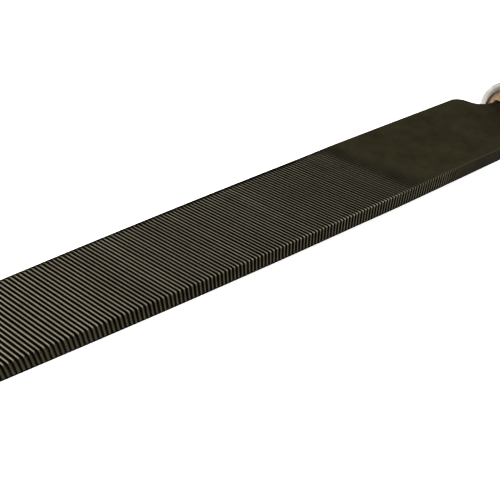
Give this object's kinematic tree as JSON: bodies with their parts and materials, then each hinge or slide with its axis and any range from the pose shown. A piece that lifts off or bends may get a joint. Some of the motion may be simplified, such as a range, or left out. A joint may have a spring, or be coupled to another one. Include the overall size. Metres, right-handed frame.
{
  "type": "flat file",
  "caption": "Single-cut flat file with toothed faces and edges, tapered towards the tip, with a tang in an eight-sided wooden handle behind a steel ferrule.",
  "frame": {"origin": "half way along the whole tool, on its long axis, at the middle of its width and thickness", "axes": "+X along the tool from the blade's tip towards the handle's butt, +Y across the blade, +Z out of its upper wide face"},
  "size_m": [0.446, 0.0304, 0.0304],
  "materials": {
    "file_steel": "hardened tool steel, oiled dark brown-black, semi-matt",
    "handle_wood": "turned and flatted hardwood under thin clear lacquer",
    "ferrule_steel": "bright drawn steel, satin with fine handling marks"
  },
  "bodies": {
    "blade": {"file_blade": "file_steel"},
    "grip": {"handle": "handle_wood", "ferrule": "ferrule_steel"}
  },
  "joints": [
    {"name": "handle_pull", "type": "slide", "parent": "blade", "child": "grip", "axis": [1, 0, 0], "range_m": [0, 0.085]}
  ]
}
